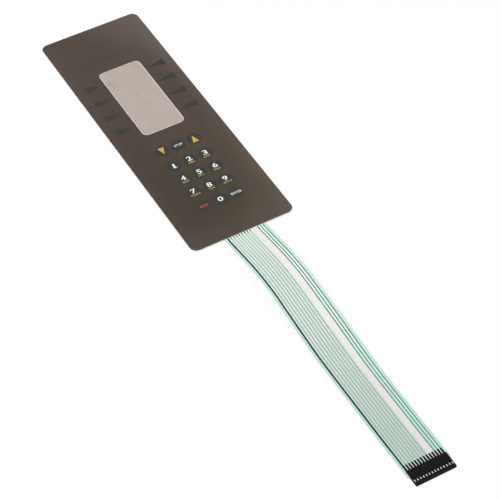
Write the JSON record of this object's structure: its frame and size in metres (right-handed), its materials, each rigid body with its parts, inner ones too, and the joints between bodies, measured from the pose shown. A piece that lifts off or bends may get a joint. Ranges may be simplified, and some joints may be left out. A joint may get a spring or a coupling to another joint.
{
  "type": "membrane keypad",
  "caption": "Long flat membrane keypad with a display window, round digit keys and pointed soft-key marks, layered films inside and a flat film tail ending in a crimped receptacle.",
  "frame": {"origin": "centre of the panel's back face", "axes": "+X across the panel to the right, +Y along the panel from the tail to the window end, +Z out of the printed face"},
  "size_m": [0.096, 0.5728, 0.0089],
  "materials": {
    "overlay_film": "fine satin polyester film, printed brown",
    "clear_window": "clear satin film",
    "dark_ink": "satin ink",
    "gold_ink": "satin ink",
    "clear_adhesive": "clear acrylic adhesive film",
    "circuit_film": "clear polyester film",
    "tail_film": "clear polyester film",
    "conductive_print": "dull silver ink",
    "release_paper": "smooth coated paper",
    "dark_conductor": "dark olive ink",
    "taupe_conductor": "grey brown silver ink",
    "green_conductor": "silver ink under a green coat",
    "cyan_coat": "clear tinted insulating coat",
    "cover_film": "clear film",
    "black_plastic": "satin moulded plastic",
    "tinned_contact": "tin plated strip"
  },
  "bodies": {
    "root": {"graphic_overlay": "overlay_film", "overlay_window": "clear_window", "dark_print": "dark_ink", "arrow_marks": "gold_ink", "overlay_adhesive": "clear_adhesive", "upper_circuit": "circuit_film", "upper_contact_print": "conductive_print", "spacer": "circuit_film", "lower_contact_print": "conductive_print", "lower_circuit": "tail_film", "rear_adhesive": "clear_adhesive", "release_liner": "release_paper", "shield_trace": "dark_conductor", "row_traces": "taupe_conductor", "column_traces": "green_conductor", "row_coat": "cyan_coat", "column_coat": "cyan_coat", "tail_cover_film": "cover_film", "connector_housing": "black_plastic", "contact_01": "tinned_contact", "contact_02": "tinned_contact", "contact_03": "tinned_contact", "contact_04": "tinned_contact", "contact_05": "tinned_contact", "contact_06": "tinned_contact", "contact_07": "tinned_contact", "contact_08": "tinned_contact", "contact_09": "tinned_contact", "contact_10": "tinned_contact", "contact_11": "tinned_contact", "contact_12": "tinned_contact", "contact_13": "tinned_contact", "contact_14": "tinned_contact"}
  },
  "joints": []
}
